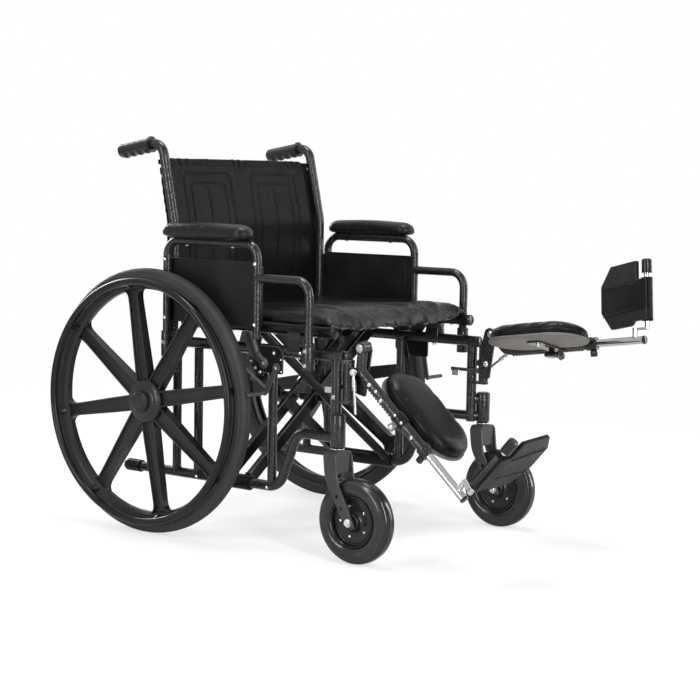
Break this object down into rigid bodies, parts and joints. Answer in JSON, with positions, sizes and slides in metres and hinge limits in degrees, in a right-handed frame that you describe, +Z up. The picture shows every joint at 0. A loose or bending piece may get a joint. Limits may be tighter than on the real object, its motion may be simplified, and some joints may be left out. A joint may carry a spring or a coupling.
{
  "type": "bariatric wheelchair",
  "caption": "Folding heavy-duty wheelchair with crossed braces, spoked push wheels, swivelling casters, lift-off arms and elevating leg rests.",
  "frame": {"origin": "on the floor, under the centre of the chair's box with its leg rests on", "axes": "+X to the occupant's left, -Y forward, +Z up"},
  "size_m": [0.751, 1.272, 0.9076],
  "materials": {
    "powder_coat": "black hammertone powder coat, glossy",
    "moulded_plastic": "charcoal moulded plastic, satin",
    "tyre_rubber": "dark grey solid rubber",
    "grip_rubber": "black ribbed rubber",
    "vinyl": "black padded vinyl, soft sheen",
    "chrome": "bright plated tube",
    "zinc": "zinc plated bolts"
  },
  "bodies": {
    "right_side": {"right_side_frame": "powder_coat", "right_push_grip": "grip_rubber", "right_step_tip": "grip_rubber", "right_rear_axle": "zinc", "right_brake_plate": "powder_coat", "right_rail_saddle": "moulded_plastic", "back_upholstery": "vinyl"},
    "left_side": {"left_side_frame": "powder_coat", "left_push_grip": "grip_rubber", "left_step_tip": "grip_rubber", "left_rear_axle": "zinc", "left_brake_plate": "powder_coat", "left_rail_saddle": "moulded_plastic"},
    "left_brace": {"left_rail_brace": "powder_coat", "centre_bolt": "zinc"},
    "right_brace": {"right_rail_brace": "powder_coat"},
    "seat": {"seat_upholstery": "vinyl"},
    "right_wheel": {"right_rear_wheel": "moulded_plastic", "right_rear_tyre": "tyre_rubber", "right_handrim": "moulded_plastic", "right_hub_cap": "moulded_plastic"},
    "right_caster_swivel": {"right_caster_fork": "powder_coat", "right_caster_axle": "zinc"},
    "right_caster": {"right_caster_wheel": "moulded_plastic", "right_caster_tyre": "tyre_rubber"},
    "right_arm": {"right_arm_frame": "powder_coat", "right_arm_pad": "vinyl", "right_skirt_panel": "vinyl"},
    "right_brake_lever": {"right_brake_lever": "moulded_plastic"},
    "right_brake_shoe": {"right_brake_shoe": "powder_coat"},
    "right_hanger": {"right_leg_hanger": "powder_coat"},
    "right_latch": {"right_hanger_latch": "powder_coat"},
    "right_leg": {"right_leg_tube": "powder_coat"},
    "right_calf": {"right_calf_bracket": "powder_coat", "right_calf_pad": "vinyl"},
    "right_extension": {"right_leg_extension": "chrome"},
    "right_footplate": {"right_footplate": "moulded_plastic"},
    "right_strut": {"right_leg_strut": "chrome"},
    "left_wheel": {"left_rear_wheel": "moulded_plastic", "left_rear_tyre": "tyre_rubber", "left_handrim": "moulded_plastic", "left_hub_cap": "moulded_plastic"},
    "left_caster_swivel": {"left_caster_fork": "powder_coat", "left_caster_axle": "zinc"},
    "left_caster": {"left_caster_wheel": "moulded_plastic", "left_caster_tyre": "tyre_rubber"},
    "left_arm": {"left_arm_frame": "powder_coat", "left_arm_pad": "vinyl", "left_skirt_panel": "vinyl"},
    "left_brake_lever": {"left_brake_lever": "moulded_plastic"},
    "left_brake_shoe": {"left_brake_shoe": "powder_coat"},
    "left_hanger": {"left_leg_hanger": "powder_coat"},
    "left_latch": {"left_hanger_latch": "powder_coat"},
    "left_leg": {"left_leg_tube": "powder_coat"},
    "left_calf": {"left_calf_bracket": "powder_coat", "left_calf_pad": "vinyl"},
    "left_extension": {"left_leg_extension": "chrome"},
    "left_footplate": {"left_footplate": "moulded_plastic"},
    "left_strut": {"left_leg_strut": "chrome"}
  },
  "joints": [
    {"name": "fold", "type": "hinge", "parent": "right_side", "child": "left_brace", "pos_m": [-0.242, 0.14097, 0.131], "axis": [0, -1, 0], "range_deg": [0, 40], "deforming": ["seat_upholstery", "back_upholstery"]},
    {"name": "brace_cross", "type": "hinge", "parent": "left_brace", "child": "right_brace", "pos_m": [0, 0.14097, 0.30338], "axis": [0, -1, 0], "range_deg": [-80, 0]},
    {"name": "left_side_upright", "type": "hinge", "parent": "right_brace", "child": "left_side", "pos_m": [0.242, 0.14097, 0.131], "axis": [0, -1, 0], "range_deg": [0, 40]},
    {"name": "seat_level", "type": "hinge", "parent": "right_brace", "child": "seat", "pos_m": [-0.262, 0.14097, 0.49], "axis": [0, -1, 0], "range_deg": [0, 40]},
    {"name": "right_wheel_spin", "type": "hinge", "parent": "right_side", "child": "right_wheel", "pos_m": [-0.331, 0.33097, 0.305], "axis": [1, 0, 0], "continuous": true},
    {"name": "right_caster_swivel", "type": "hinge", "parent": "right_side", "child": "right_caster_swivel", "pos_m": [-0.282, -0.18503, 0.247], "axis": [0, 0, 1], "continuous": true},
    {"name": "right_caster_spin", "type": "hinge", "parent": "right_caster_swivel", "child": "right_caster", "pos_m": [-0.282, -0.23903, 0.0925], "axis": [1, 0, 0], "continuous": true},
    {"name": "right_arm_lift", "type": "slide", "parent": "right_side", "child": "right_arm", "axis": [0, 0, 1], "range_m": [0, 0.2]},
    {"name": "right_brake_lever", "type": "hinge", "parent": "right_side", "child": "right_brake_lever", "pos_m": [-0.2781, 0.02797, 0.412], "axis": [1, 0, 0], "range_deg": [0, 61.4]},
    {"name": "right_brake_shoe", "type": "hinge", "parent": "right_side", "child": "right_brake_shoe", "pos_m": [-0.2781, -0.00903, 0.404], "axis": [1, 0, 0], "range_deg": [-38.38, 0]},
    {"name": "right_hanger_swing", "type": "hinge", "parent": "right_side", "child": "right_hanger", "pos_m": [-0.262, -0.19703, 0.347], "axis": [0, 0, -1], "range_deg": [0, 90]},
    {"name": "right_latch", "type": "hinge", "parent": "right_hanger", "child": "right_latch", "pos_m": [-0.2455, -0.19103, 0.373], "axis": [0, 0, -1], "range_deg": [0, 20], "stiffness_Nm_per_rad": 0.2, "springref_deg": -11.46},
    {"name": "right_leg_raise", "type": "hinge", "parent": "right_hanger", "child": "right_leg", "pos_m": [-0.256, -0.22903, 0.462], "axis": [-1, 0, 0], "range_deg": [-6, 50]},
    {"name": "right_strut_turn", "type": "hinge", "parent": "right_leg", "child": "right_strut", "pos_m": [-0.2735, -0.22037, 0.41079], "axis": [-1, 0, 0], "range_deg": [-107.5, 12.9]},
    {"name": "right_calf_swing", "type": "hinge", "parent": "right_leg", "child": "right_calf", "pos_m": [-0.256, -0.33163, 0.31634], "axis": [0, -0.7466, -0.6652], "range_deg": [0, 100]},
    {"name": "right_foot_slide", "type": "slide", "parent": "right_leg", "child": "right_extension", "axis": [0, -0.7466, -0.6652], "range_m": [-0.06, 0.05]},
    {"name": "right_plate_flip", "type": "hinge", "parent": "right_extension", "child": "right_footplate", "pos_m": [-0.266, -0.52619, 0.19724], "axis": [0, -0.6652, 0.7466], "range_deg": [-3, 108]},
    {"name": "left_wheel_spin", "type": "hinge", "parent": "left_side", "child": "left_wheel", "pos_m": [0.331, 0.33097, 0.305], "axis": [1, 0, 0], "continuous": true},
    {"name": "left_caster_swivel", "type": "hinge", "parent": "left_side", "child": "left_caster_swivel", "pos_m": [0.282, -0.18503, 0.247], "axis": [0, 0, 1], "continuous": true},
    {"name": "left_caster_spin", "type": "hinge", "parent": "left_caster_swivel", "child": "left_caster", "pos_m": [0.282, -0.23903, 0.0925], "axis": [1, 0, 0], "continuous": true},
    {"name": "left_arm_lift", "type": "slide", "parent": "left_side", "child": "left_arm", "axis": [0, 0, 1], "range_m": [0, 0.2]},
    {"name": "left_brake_lever", "type": "hinge", "parent": "left_side", "child": "left_brake_lever", "pos_m": [0.2781, 0.02797, 0.412], "axis": [1, 0, 0], "range_deg": [-61.4, 0]},
    {"name": "left_brake_shoe", "type": "hinge", "parent": "left_side", "child": "left_brake_shoe", "pos_m": [0.2781, -0.00903, 0.404], "axis": [1, 0, 0], "range_deg": [0, 38.38]},
    {"name": "left_hanger_swing", "type": "hinge", "parent": "left_side", "child": "left_hanger", "pos_m": [0.262, -0.19703, 0.347], "axis": [0, 0, 1], "range_deg": [0, 90]},
    {"name": "left_latch", "type": "hinge", "parent": "left_hanger", "child": "left_latch", "pos_m": [0.2455, -0.19103, 0.373], "axis": [0, 0, 1], "range_deg": [0, 20], "stiffness_Nm_per_rad": 0.2, "springref_deg": -11.46},
    {"name": "left_leg_raise", "type": "hinge", "parent": "left_hanger", "child": "left_leg", "pos_m": [0.256, -0.22903, 0.462], "axis": [-1, 0, 0], "range_deg": [-55, 0]},
    {"name": "left_strut_turn", "type": "hinge", "parent": "left_leg", "child": "left_strut", "pos_m": [0.2735, -0.26242, 0.42221], "axis": [-1, 0, 0], "range_deg": [0, 118.25]},
    {"name": "left_calf_swing", "type": "hinge", "parent": "left_leg", "child": "left_calf", "pos_m": [0.256, -0.40645, 0.44573], "axis": [0, 0.9905, -0.1374], "range_deg": [-15, 85]},
    {"name": "left_foot_slide", "type": "slide", "parent": "left_leg", "child": "left_extension", "axis": [0, -0.9905, 0.1374], "range_m": [-0.06, 0.05]},
    {"name": "left_plate_flip", "type": "hinge", "parent": "left_extension", "child": "left_footplate", "pos_m": [0.27221, -0.62354, 0.51466], "axis": [-0.1564, -0.1358, -0.9783], "range_deg": [0, 118]}
  ],
  "couplings": [
    {"joint": "brace_cross", "follows": "fold", "ratio": -2},
    {"joint": "left_side_upright", "follows": "fold", "ratio": 1},
    {"joint": "seat_level", "follows": "fold", "ratio": 1},
    {"joint": "right_brake_shoe", "follows": "right_brake_lever", "ratio": -0.625},
    {"joint": "right_strut_turn", "follows": "right_leg_raise", "ratio": -2.15},
    {"joint": "left_brake_shoe", "follows": "left_brake_lever", "ratio": -0.625},
    {"joint": "left_strut_turn", "follows": "left_leg_raise", "ratio": -2.15}
  ]
}
